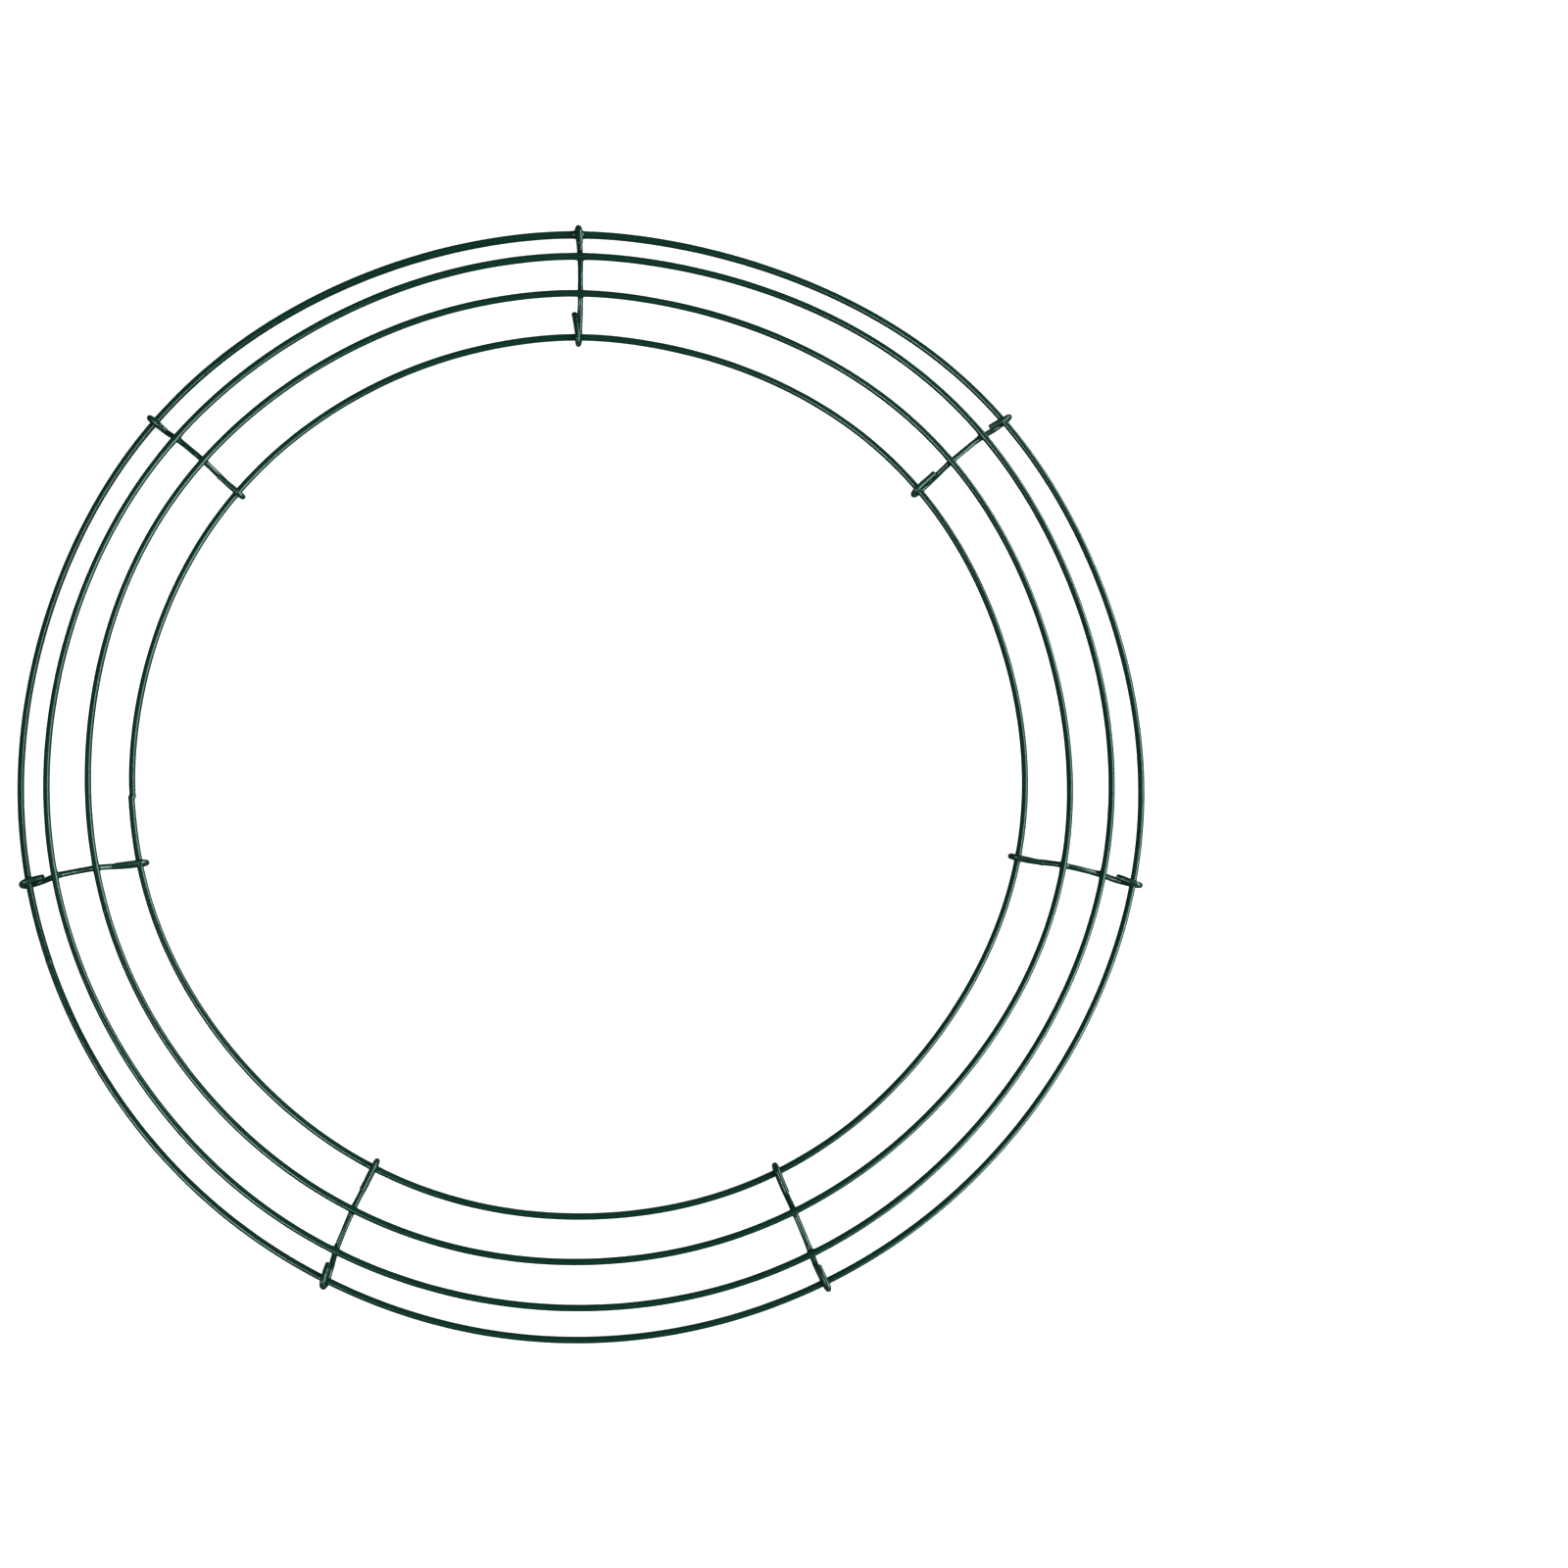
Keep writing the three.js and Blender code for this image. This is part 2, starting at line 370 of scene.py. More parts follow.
def coatGlossTree():
    # Roughness of the coat: duller in patches and in the grain, wetter where it has pooled.
    smearEdges = (0.3, 0.75)  # where in the noise a smear starts and is full
    smearShare = 0.7
    fadeShare = 0.3
    wetShare = 0.5
    bench, given = newTree(
        "coatGloss",
        "ShaderNodeTree",
        [
            ("Place", "NodeSocketVector", None),
            ("Pooled", "NodeSocketFloat", 0.0),
            ("Fade", "NodeSocketFloat", 0.0),
            ("Smooth", "NodeSocketFloat", 0.25),
            ("Dull", "NodeSocketFloat", 0.45),
            ("Smear Size", "NodeSocketFloat", 2.5 * mm),
        ],
        [("Roughness", "NodeSocketFloat")],
    )
    inputs = {
        "Vector": given["Place"],
        "Scale": bench.calc("DIVIDE", 1.0, given["Smear Size"]),
        "Detail": 5.0,
        "Roughness": 0.65,
    }
    smear = bench.ranged(bench.add("ShaderNodeTexNoise", inputs).outputs["Fac"], *smearEdges)
    smear = bench.calc("MULTIPLY", smear, smearShare)
    dullness = bench.calc("ADD", smear, bench.calc("MULTIPLY", given["Fade"], fadeShare))
    dry = bench.calc("SUBTRACT", 1.0, bench.calc("MULTIPLY", given["Pooled"], wetShare))
    dullness = bench.calc("MULTIPLY", dullness, dry)
    span = bench.calc("SUBTRACT", given["Dull"], given["Smooth"])
    bench.finish(bench.calc("ADD", given["Smooth"], bench.calc("MULTIPLY", dullness, span)))
    return bench.tree


ringEnamelLook = {
    "green": (0.0013, 0.031, 0.0175, 1),
    "fadedGreen": (0.003, 0.040, 0.025, 1),
    "pooledShadeGreen": (0.0008, 0.020, 0.010, 1),  # near other wires: thick pooled coat, and painted shade where wires meet
    "patchSize": 14 * mm,
    "fading": 0.55,
    "rippleSize": 2.2 * mm,
    "ripple": 0.8,
    "grainSize": 0.3 * mm,
    "grain": 0.25,
    "pinholeSize": 3.0 * mm,
    "pinholes": 0.5,
    "bumpDepth": 0.03 * mm,
    "smooth": 0.2,  # roughness of the glossiest and the dullest coat
    "dull": 0.33,
    "smearSize": 3 * mm,
}

crossbarEnamelLook = {
    "green": (0.0013, 0.031, 0.0175, 1),
    "fadedGreen": (0.004, 0.046, 0.029, 1),
    # darker near the hoops: thick pooled coat, and painted shade where wires meet
    "pooledShadeGreen": (0.0008, 0.020, 0.010, 1),
    "patchSize": 5 * mm,
    "fading": 0.7,
    "rippleSize": 1.1 * mm,
    "ripple": 1.0,
    "grainSize": 0.22 * mm,
    "grain": 0.7,
    "pinholeSize": 1.3 * mm,
    "pinholes": 0.9,
    "bumpDepth": 0.05 * mm,
    "smooth": 0.2,
    "dull": 0.42,
    "smearSize": 1.4 * mm,
}

# The shine that both share: reflections tinted by the green, under a thin clear skin.
enamelShine = {
    "Metallic": 0.0,
    "IOR": 1.5,
    "Specular IOR Level": 0.85,
    "Specular Tint": (0.62, 1.0, 0.86, 1),
    "Coat Weight": 0.25,
    "Coat Roughness": 0.12,
}


def makeEnamel(name, look, groups):
    material = bpy.data.materials.new(name)
    material.use_nodes = True
    tree = material.node_tree
    tree.nodes.clear()
    bench = NodeBench(tree)
    place = bench.add("ShaderNodeTexCoord").outputs["Object"]
    # near another wire: darkens the green, partly as painted shade, and makes the coat glossier
    pooled = bench.add("ShaderNodeAttribute", attribute_name="pooled").outputs["Fac"]

    inputs = {
        "Place": place,
        "Pooled": pooled,
        "Green": look["green"],
        "Faded Green": look["fadedGreen"],
        "Pooled Shade Green": look["pooledShadeGreen"],
        "Patch Size": look["patchSize"],
        "Fading": look["fading"],
    }
    tone = bench.add("ShaderNodeGroup", inputs, node_tree=groups["tone"])

    inputs = {
        "Place": place,
        "Ripple Size": look["rippleSize"],
        "Ripple": look["ripple"],
        "Grain Size": look["grainSize"],
        "Grain": look["grain"],
        "Pinhole Size": look["pinholeSize"],
        "Pinholes": look["pinholes"],
    }
    skin = bench.add("ShaderNodeGroup", inputs, node_tree=groups["skin"])

    inputs = {
        "Place": place,
        "Pooled": pooled,
        "Fade": tone.outputs["Fade"],
        "Smooth": look["smooth"],
        "Dull": look["dull"],
        "Smear Size": look["smearSize"],
    }
    gloss = bench.add("ShaderNodeGroup", inputs, node_tree=groups["gloss"])

    inputs = {"Strength": 1.0, "Distance": look["bumpDepth"], "Height": skin.outputs["Height"]}
    bump = bench.add("ShaderNodeBump", inputs)
    inputs = {
        "Base Color": tone.outputs["Color"],
        "Roughness": gloss.outputs["Roughness"],
        "Normal": bump.outputs[0],
        **enamelShine,
    }
    shader = bench.add("ShaderNodeBsdfPrincipled", inputs)
    bench.add("ShaderNodeOutputMaterial", {0: shader.outputs[0]})
    return material


enamelGroups = {"tone": enamelToneTree(), "skin": coatSkinTree(), "gloss": coatGlossTree()}
ringEnamel = makeEnamel("ringEnamel", ringEnamelLook, enamelGroups)
crossbarEnamel = makeEnamel("crossbarEnamel", crossbarEnamelLook, enamelGroups)
print("enamel mixed")

# What the four hoops share. Angles are in degrees.
hoopWire = {
    "radius": 0.9 * mm,
    "coat": 0.99,  # the coated wire, as a share of the solid's 1.8 mm
    "thinSide": 0.022,  # how much thinner the coat is on the side that faces thinAngle
    "thinAngle": -15,
    "peakHeight": 0.3 * mm,  # the hoops are drawn out a little where they hung to dry
    "peakAngle": 90,
    "peakSpread": 8,
    "dripAngle": 103,  # where the coat ran together while they hung
    "dripSpread": 34,
    "topPoolSpread": 6,  # of the wider pool at the top crossbar
    "weldTaper": 5 * mm,  # over which the two ends of the wire come back into line
    "weldEdge": 0.35 * mm,
    "weldLift": 0.4,  # how far the step goes up, as a share of its way out
    "beadWidth": 0.55 * mm,
    "neckPlace": 1.3 * mm,  # of the thinner neck on either side of the bead
    "neckWidth": 0.5 * mm,
    "neckDepth": 0.4,
    "longStep": 0.6 * mm,  # between sections of the wire
    "shortStep": 0.14 * mm,  # beside each crossbar and at the weld
    "fineReach": 3.4 * mm,
    "stepTaper": 4 * mm,
}

# bends: how the hoop is bent its own way, as number of bulges, how far they stand out in mm, and the
# angle of one of them. drip: how much thicker the coat is where it ran together. pool, topPool: how widely
# coat pools against the crossbars, and against the top one. weldAngle, weldStep: where the butt weld is and
# how far out of line its ends are, in mm. bead: how much thicker the joint is.
hoopDetails = {
    "outer_ring": {
        "name": "outerRingWire",
        "bends": [
            (1, 0.52, -20.7),
            (2, 0.13, 8.4),
            (3, 0.16, 13.8),
            (4, 0.1, 41.4),
            (5, 0.08, -19.1),
            (8, 0.13, 0),
        ],
        "drip": 0.23,
        "pool": 0.5,
        "topPool": 1.12,
        "weldAngle": 201,
        "weldStep": 0.02,
        "bead": 0.03,
    },
    "second_ring": {
        "name": "secondRingWire",
        "bends": [(1, 0.25, -33.5), (2, 0.34, 49.6), (3, 0.12, 54.5), (6, 0.1, -5.1), (8, 0.1, 4.8)],
        "drip": 0.15,
        "pool": 1.12,
        "topPool": 1.12,
        "weldAngle": 171,
        "weldStep": -0.02,
        "bead": 0.03,
    },
    "third_ring": {
        "name": "thirdRingWire",
        "bends": [(1, 0.21, -128.4), (2, 0.15, -19.0), (3, 0.11, -14.5), (4, 0.16, -27.1), (6, 0.1, -20.4)],
        "drip": 0.08,
        "pool": 1.12,
        "topPool": 1.12,
        "weldAngle": 198,
        "weldStep": 0.02,
        "bead": 0.03,
    },
    "inner_ring": {
        "name": "innerRingWire",
        "bends": [(1, 0.18, -40.8), (2, 0.12, 11.2), (3, 0.23, -52.9), (4, 0.11, 17.4), (6, 0.1, 5.2)],
        "drip": 0.07,
        "pool": 0.5,
        "topPool": 0.5,
        "weldAngle": 184.7,
        "weldStep": 0.16,
        "bead": 0.09,
    },
}

waveCount = 8  # waves kept when a hoop's line is read from its solid


def readHoop(node):
    low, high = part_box(node)
    corners = np.array([v.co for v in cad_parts[node].data.vertices], float)
    angles = np.arctan2(corners[:, 1], corners[:, 0])
    reach = np.hypot(corners[:, 0], corners[:, 1])
    columns = [np.ones_like(angles)]
    for n in range(1, waveCount + 1):
        columns += [np.cos(n * angles), np.sin(n * angles)]
    shape = np.linalg.lstsq(np.stack(columns, 1), reach, rcond=None)[0]
    return {"shape": shape, "radius": shape[0], "height": (low.z + high.z) / 2}


def turnFrom(angles, middle):
    # The shorter way round from the middle angle to each of the others.
    return np.remainder(angles - middle + math.pi, 2 * math.pi) - math.pi


def hump(value, middle, width):
    # 1 at the middle, falling smoothly to nothing on both sides.
    return np.exp(-(((value - middle) / width) ** 2))


def smoothStep(value, low, high):
    t = np.clip((value - low) / (high - low), 0, 1)
    return t * t * (3 - 2 * t)


def hoopReach(hoop, angles):
    # Distance of the hoop's middle line from the centre, at each angle.
    reach = np.full_like(angles, hoop["shape"][0], dtype=float)
    for n in range(1, waveCount + 1):
        reach += hoop["shape"][2 * n - 1] * np.cos(n * angles) + hoop["shape"][2 * n] * np.sin(n * angles)
    for lobes, depth, first in hoop["bends"]:
        reach += depth * mm * np.cos(lobes * (angles - math.radians(first)))
    fromPeak = turnFrom(angles, math.radians(hoopWire["peakAngle"]))
    reach += hoopWire["peakHeight"] * hump(fromPeak, 0, math.radians(hoopWire["peakSpread"]))
    return reach


hoops = {node: {**readHoop(node), **details} for node, details in hoopDetails.items()}
print("hoops measured")


def lineObject(name, points, closed, values):
    # A chain of edges through the points, with a value of each kind at every point.
    count = len(points)
    edges = [(i, i + 1) for i in range(count - 1)]
    if closed:
        edges.append((count - 1, 0))
    mesh = bpy.data.meshes.new(name)
    mesh.from_pydata([tuple(p) for p in points], edges, [])
    for label, numbers in values.items():
        attribute = mesh.attributes.new(label, "FLOAT", "POINT")
        attribute.data.foreach_set("value", np.asarray(numbers, np.float32))
    line = bpy.data.objects.new(name, mesh)
    scene.collection.objects.link(line)
    return line


def joinLines(name, lines):
    # Several chains in one mesh, for finding the nearest point on any of them.
    points = []
    edges = []
    for line in lines:
        start = len(points)
        points += [tuple(v.co) for v in line.data.vertices]
        edges += [(a + start, b + start) for a, b in (tuple(e.vertices) for e in line.data.edges)]
    mesh = bpy.data.meshes.new(name)
    mesh.from_pydata(points, edges, [])
    joined = bpy.data.objects.new(name, mesh)
    scene.collection.objects.link(joined)
    return joined


# What the seven crossbars share. Angles are in degrees.
crossbarShape = {
    "wireRadius": 0.79 * mm,
    "footLength": 2.2 * mm,  # the level stretch beside each hook that the frame rests on
    "tailGap": 0.07 * mm,  # between a tail and the bar it lies on
    "secondSlope": 22,  # of the bar under a middle hoop, positive where it climbs inwards
    "thirdSlope": -6,
    "firstAngle": 90,
    "swingCurve": 1.3,  # 1 swings the ends sideways in a straight line, more in a curve
    "archPoints": 80,
    "hookPoints": 60,
    "tailPoints": 50,
    "step": 0.13 * mm,  # between sections of the wire
}

# The coat along a crossbar. Shares are of the wire's thickness, and of the usual pool.
crossbarCoat = {
    "foldBefore": 1.2 * mm,  # a tail blends into its hook from this far before the hook's top
    "foldPast": 0.6 * mm,  # to this far past it
    "runTaper": 1 * mm,  # over which the run between the hooks starts
    "plump": 0.26,  # how much thicker a melted outer tail is, and the start of its hook
    "plumpBefore": 1 * mm,
    "plumpHook": 0.6,
    "innerThin": 0.04,  # how much thinner the inner tail is
    "rim": 0.05,  # the coat draws out into a rim and a rounded edge at a cut end
    "rimPlace": 0.3 * mm,
    "rimWidth": 0.25 * mm,
    "edge": 0.3 * mm,
    "cutShare": 0.72,
    "sunk": 0.3,  # a melted tail's end sinks in, with a dimple from a burst bubble
    "sunkLength": 3.6 * mm,
    "dimple": 0.22,
    "dimplePlace": 2.1 * mm,
    "dimpleWidth": 0.22 * mm,
    "hookPool": 0.5,  # coat pools widely under the middle hoops and less at the hooks
    "middlePool": 0.62,
    "meltPool": 0.6,
    "poolTaper": 6 * mm,
    "cutClear": 0.55 * mm,  # left off a tail's end when the coat on its bar looks for it
}

# turn: how far the bar sits from its even place, in degrees. lean: how far it is turned from pointing
# straight at the centre. outerTail, innerTail: how far a folded end lies to the anticlockwise side, over
# its hoop and at its cut end, in mm. rests: where the outer and inner tails' ends lie, along the arch from
# its foot, in mm. swings: how far the bar's outer and inner ends stand to the anticlockwise side, in mm.
# melts: how far the outer tail's end has sunk into thick coat, from 0 to 1. slack: how little the coat
# joins a tail to its bar, in mm.
crossbars = {
    "crossbar_1": dict(
        turn=-0.3, lean=0.4, outerTail=(0, 0), innerTail=(0.4, 1.7),
        rests=(5.3, 5.4), swings=(0.45, 0.38), melts=1.0, slack=0.7,
    ),
    "crossbar_2": dict(
        turn=-0.4, lean=-2, outerTail=(0.1, 0.2), innerTail=(0.3, 0.4),
        rests=(3.3, 6.0), swings=(0.3, 0), melts=0.25, slack=0.3,
    ),
    "crossbar_3": dict(
        turn=0, lean=-2.8, outerTail=(-0.7, -0.65), innerTail=(0, 0.1),
        rests=(3.5, 6.0), swings=(0.8, 0.35), melts=0, slack=0.2,
    ),
    "crossbar_4": dict(
        turn=-0.4, lean=3.2, outerTail=(-0.8, -0.8), innerTail=(0, -0.1),
        rests=(3.0, 5.8), swings=(0.8, 0.45), melts=0, slack=0.2,
    ),
    "crossbar_5": dict(
        turn=-0.6, lean=-2.6, outerTail=(0.2, 0.38), innerTail=(0.1, 0.15),
        rests=(3.7, 5.5), swings=(0.35, 0.2), melts=0, slack=0.2,
    ),
    "crossbar_6": dict(
        turn=0.3, lean=-0.3, outerTail=(-0.2, 0.65), innerTail=(-0.4, -0.5),
        rests=(3.4, 6.2), swings=(-0.15, 0), melts=0, slack=0.2,
    ),
    "crossbar_7": dict(
        turn=0.4, lean=1.4, outerTail=(0.1, 0.85), innerTail=(0.6, 0.75),
        rests=(3.1, 5.6), swings=(-0.5, -0.1), melts=0, slack=0.2,
    ),
}

hoopHeight = hoops["outer_ring"]["height"]
hookRadius = hoopHeight - crossbarShape["wireRadius"]
hookLength = math.pi * hookRadius
barMiddle = (hoops["outer_ring"]["radius"] + hoops["inner_ring"]["radius"]) / 2
tailClear = 2 * crossbarShape["wireRadius"] + crossbarShape["tailGap"]
barAngles = {
    node: math.radians(crossbarShape["firstAngle"] + i * 360 / len(crossbars) + bar["turn"])
    for i, (node, bar) in enumerate(crossbars.items())
}


def bezier(corners, count):
    # Points on a curve with three or four corner points.
    t = np.linspace(0, 1, count)[:, None]
    corners = np.array(corners, float)
    while len(corners) > 1:
        if corners.ndim == 2:
            corners = np.repeat(corners[:, None, :], count, axis=1)
        corners = corners[:-1] * (1 - t) + corners[1:] * t
    return corners[0]


def lengthsAlong(points):
    return np.r_[0, np.cumsum(np.linalg.norm(np.diff(points, axis=0), axis=1))]


def evenly(points, step):
    # The same line with even spacing, and how far along it each point is.
    lengths = lengthsAlong(points)
    count = max(2, int(round(lengths[-1] / step)) + 1)
    spots = np.linspace(0, lengths[-1], count)
    return np.stack([np.interp(spots, lengths, points[:, i]) for i in range(3)], 1), spots


# A bar is worked out in its own upright plane: x away from the centre, y anticlockwise, z up.
def seatUnder(reach, height, slope):
    # Where the bar passes under a middle hoop, and the way it runs there.
    slope = math.radians(slope)
    spot = (reach - hookRadius * math.sin(slope), 0, height - hookRadius * math.cos(slope))
    return np.array(spot), np.array((-math.cos(slope), 0, math.sin(slope)))


def archLine(reach):
    inwards = np.array((-1.0, 0, 0))
    foot = crossbarShape["wireRadius"]
    seats = [
        (np.array((reach["outer_ring"] - crossbarShape["footLength"], 0, foot)), inwards),
        seatUnder(reach["second_ring"], hoops["second_ring"]["height"], crossbarShape["secondSlope"]),
        seatUnder(reach["third_ring"], hoops["third_ring"]["height"], crossbarShape["thirdSlope"]),
        (np.array((reach["inner_ring"] + crossbarShape["footLength"], 0, foot)), inwards),
    ]
    line = [seats[0][0]]
    for (spotA, alongA), (spotB, alongB) in zip(seats[:-1], seats[1:]):
        handle = np.linalg.norm(spotB - spotA) / 3
        corners = [spotA, spotA + alongA * handle, spotB - alongB * handle, spotB]
        line += list(bezier(corners, crossbarShape["archPoints"])[1:])
    return np.array(line)


def hookLine(reach, outwards, sideways):
    # Half a turn round a hoop, from under it to over it.
    turn = np.linspace(0, math.pi, crossbarShape["hookPoints"])
    x = reach + outwards * hookRadius * np.sin(turn)
    y = sideways * (1 - np.cos(turn)) / 2
    z = hoopHeight - hookRadius * np.cos(turn)
    return np.stack([x, y, z], 1)


def tailLine(arch, overHoop, distance, sideways):
    # A folded end: from over its hoop down to rest on top of the bar, or against its side.
    lengths = lengthsAlong(arch)
    if distance < 0:
        distance += lengths[-1]
    nudge = 0.1 * mm
    spot = np.array([np.interp(distance, lengths, arch[:, i]) for i in range(3)])
    ahead = np.array([np.interp(distance + nudge, lengths, arch[:, i]) for i in range(3)])
    along = (ahead - spot) / np.linalg.norm(ahead - spot)
    up = np.array((along[2], 0, -along[0]))
    end = spot + up * math.sqrt(max(0, tailClear ** 2 - sideways ** 2))
    end[1] = sideways
    bend = np.array(((overHoop[0] + end[0]) / 2, (overHoop[1] + end[1]) / 2, overHoop[2]))
    return bezier([overHoop, bend, end], crossbarShape["tailPoints"])


def placeBar(points, angle, reach, bar):
    # From the bar's own plane to its place round the hoops, with its ends swung sideways.
    lean = math.radians(bar["lean"])
    outerPart = (points[:, 0] - reach["second_ring"]) / (reach["outer_ring"] - reach["second_ring"])
    innerPart = (reach["third_ring"] - points[:, 0]) / (reach["third_ring"] - reach["inner_ring"])
    outerSwing, innerSwing = bar["swings"]
    x = points[:, 0] - barMiddle
    y = points[:, 1] + outerSwing * mm * np.clip(outerPart, 0, None) ** crossbarShape["swingCurve"]
    y += innerSwing * mm * np.clip(innerPart, 0, None) ** crossbarShape["swingCurve"]
    leanX = x * math.cos(lean) - y * math.sin(lean) + barMiddle
    leanY = x * math.sin(lean) + y * math.cos(lean)
    placeX = leanX * math.cos(angle) - leanY * math.sin(angle)
    placeY = leanX * math.sin(angle) + leanY * math.cos(angle)
    return np.stack([placeX, placeY, points[:, 2]], 1)


# along and back are distances from the outer and the inner cut end. outerTail and innerTail are lengths.
def coatAlong(along, back, outerTail, innerTail, melts):
    # How thick the coated wire is.
    look = crossbarCoat
    coat = np.ones(len(along))
    plumpEnd = outerTail + hookLength * look["plumpHook"]
    coat += look["plump"] * melts * (1 - smoothStep(along, outerTail + look["plumpBefore"], plumpEnd))
    thin = 1 - smoothStep(back, innerTail + look["plumpBefore"], innerTail + hookLength)
    coat -= look["innerThin"] * thin
    for distance in (along, back):
        coat += look["rim"] * hump(distance, look["rimPlace"], look["rimWidth"])
        edge = np.clip(distance / look["edge"], 0, 1)
        rounded = np.sqrt(np.clip(1 - (1 - edge) ** 2, 0, 1))
        coat *= look["cutShare"] + (1 - look["cutShare"]) * rounded
    coat -= look["sunk"] * melts * (1 - smoothStep(along, 0, look["sunkLength"]))
    coat -= look["dimple"] * melts * hump(along, look["dimplePlace"], look["dimpleWidth"])
    return coat


def poolAlong(along, back, outerTail, innerTail, melts):
    # How widely coat pools against the hoops.
    look = crossbarCoat
    outerHookEnd = outerTail + hookLength
    innerHookEnd = innerTail + hookLength
    pastOuter = smoothStep(along, outerHookEnd, outerHookEnd + look["poolTaper"])
    pastInner = smoothStep(back, innerHookEnd, innerHookEnd + look["poolTaper"])
    pool = look["hookPool"] + look["middlePool"] * pastOuter
    pool -= look["middlePool"] * (1 - pastInner)
    pool += look["meltPool"] * melts * (1 - pastOuter)
    return pool


def makeBarLines(node, bar):
    angle = barAngles[node]
    reach = {hoopNode: float(hoopReach(hoop, np.array([angle]))[0]) for hoopNode, hoop in hoops.items()}
    arch = archLine(reach)
    outerHook = hookLine(reach["outer_ring"], 1, bar["outerTail"][0] * mm)
    innerHook = hookLine(reach["inner_ring"], -1, bar["innerTail"][0] * mm)
    outerEnd = tailLine(arch, outerHook[-1], bar["rests"][0] * mm, bar["outerTail"][1] * mm)
    innerEnd = tailLine(arch, innerHook[-1], -bar["rests"][1] * mm, bar["innerTail"][1] * mm)
    outerTail = float(lengthsAlong(outerEnd)[-1])
    innerTail = float(lengthsAlong(innerEnd)[-1])
    line = np.concatenate([outerEnd[::-1], outerHook[::-1][1:], arch, innerHook, innerEnd[1:]])
    line, along = evenly(line, crossbarShape["step"])
    back = along[-1] - along
    ends = [(along, outerTail), (back, innerTail)]

    # 1 on the folded ends, 0 round the hooks, -1 on the run between them
    fold = np.zeros(len(line))
    onRun = np.ones(len(line))
    for distance, tail in ends:
        fold += 1 - smoothStep(distance, tail - crossbarCoat["foldBefore"], tail + crossbarCoat["foldPast"])
        onRun *= smoothStep(distance, tail + hookLength, tail + hookLength + crossbarCoat["runTaper"])
    values = {
        "coat": coatAlong(along, back, outerTail, innerTail, bar["melts"]),
        "fold": fold - onRun,
        "poolShare": poolAlong(along, back, outerTail, innerTail, bar["melts"]),
    }
    line = placeBar(line, angle, reach, bar)
    main = lineObject(node + "_line", line, False, values)
    run = lineObject(node + "_run", line[onRun > 0.5], False, {})
    tails = []
    for distance, tail in ends:
        inside = (distance > crossbarCoat["cutClear"]) & (distance < tail)
        tails.append(lineObject(node + "_tail", line[inside], False, {}))
    folded = joinLines(node + "_ends", tails)
    for tail in tails:
        bpy.data.objects.remove(tail)
    return {"main": main, "run": run, "ends": folded}


barLines = {node: makeBarLines(node, bar) for node, bar in crossbars.items()}
print("crossbar lines drawn")


def makeHoopLine(node, hoop):
    weld = math.radians(hoop["weldAngle"])
    fineSpots = [*barAngles.values(), weld]
    angles = [0.0]
    while angles[-1] < 2 * math.pi:
        here = angles[-1]
        gap = min(abs(math.remainder(here - spot, 2 * math.pi)) for spot in fineSpots) * hoop["radius"]
        share = min(1.0, max(0.0, (gap - hoopWire["fineReach"]) / hoopWire["stepTaper"]))
        step = hoopWire["shortStep"] + (hoopWire["longStep"] - hoopWire["shortStep"]) * share
        angles.append(here + step / hoop["radius"])
    angles = np.array(angles[:-1]) * (2 * math.pi / angles[-1])

    # The two ends met a little out of line at the weld, with a bead over the joint.
    fromWeld = turnFrom(angles, weld) * hoop["radius"]
    slip = hoop["weldStep"] * mm * np.sign(fromWeld) * np.exp(-np.abs(fromWeld) / hoopWire["weldTaper"])
    slip *= smoothStep(np.abs(fromWeld), 0, hoopWire["weldEdge"])
    reach = hoopReach(hoop, angles) + slip
    height = np.full_like(angles, hoop["height"]) + hoopWire["weldLift"] * slip
    points = np.stack([reach * np.cos(angles), reach * np.sin(angles), height], 1)

    fromDrip = np.degrees(turnFrom(angles, math.radians(hoopWire["dripAngle"])))
    coat = hoopWire["coat"] + hoop["drip"] * hump(fromDrip, 0, hoopWire["dripSpread"])
    coat -= hoopWire["thinSide"] * np.cos(angles - math.radians(hoopWire["thinAngle"]))
    coat += hoop["bead"] * hump(fromWeld, 0, hoopWire["beadWidth"])
    neck = hump(np.abs(fromWeld), hoopWire["neckPlace"], hoopWire["neckWidth"])
    coat -= hoopWire["neckDepth"] * hoop["bead"] * neck
    fromTop = np.degrees(turnFrom(angles, barAngles["crossbar_1"]))
    pool = hoop["pool"] + (hoop["topPool"] - hoop["pool"]) * hump(fromTop, 0, hoopWire["topPoolSpread"])
    values = {"coat": coat, "fold": np.zeros(len(angles)), "poolShare": pool}
    return lineObject(node + "_line", points, True, values)


hoopLines = {node: makeHoopLine(node, hoop) for node, hoop in hoops.items()}
print("hoop lines drawn")

allHoops = joinLines("allHoops", list(hoopLines.values()))
allBars = joinLines("allBars", [lines["main"] for lines in barLines.values()])
farEdge = [(0, 0, 5), (0, 0, 5.001)]  # stands in for the folded ends that a hoop doesn't have
nothing = lineObject("nothing", farEdge, False, {})
coatedWire = coatedWireTree(settleCoatTree())
overlap = 0.02 * mm  # keeps two skins that meet from lying exactly on each other

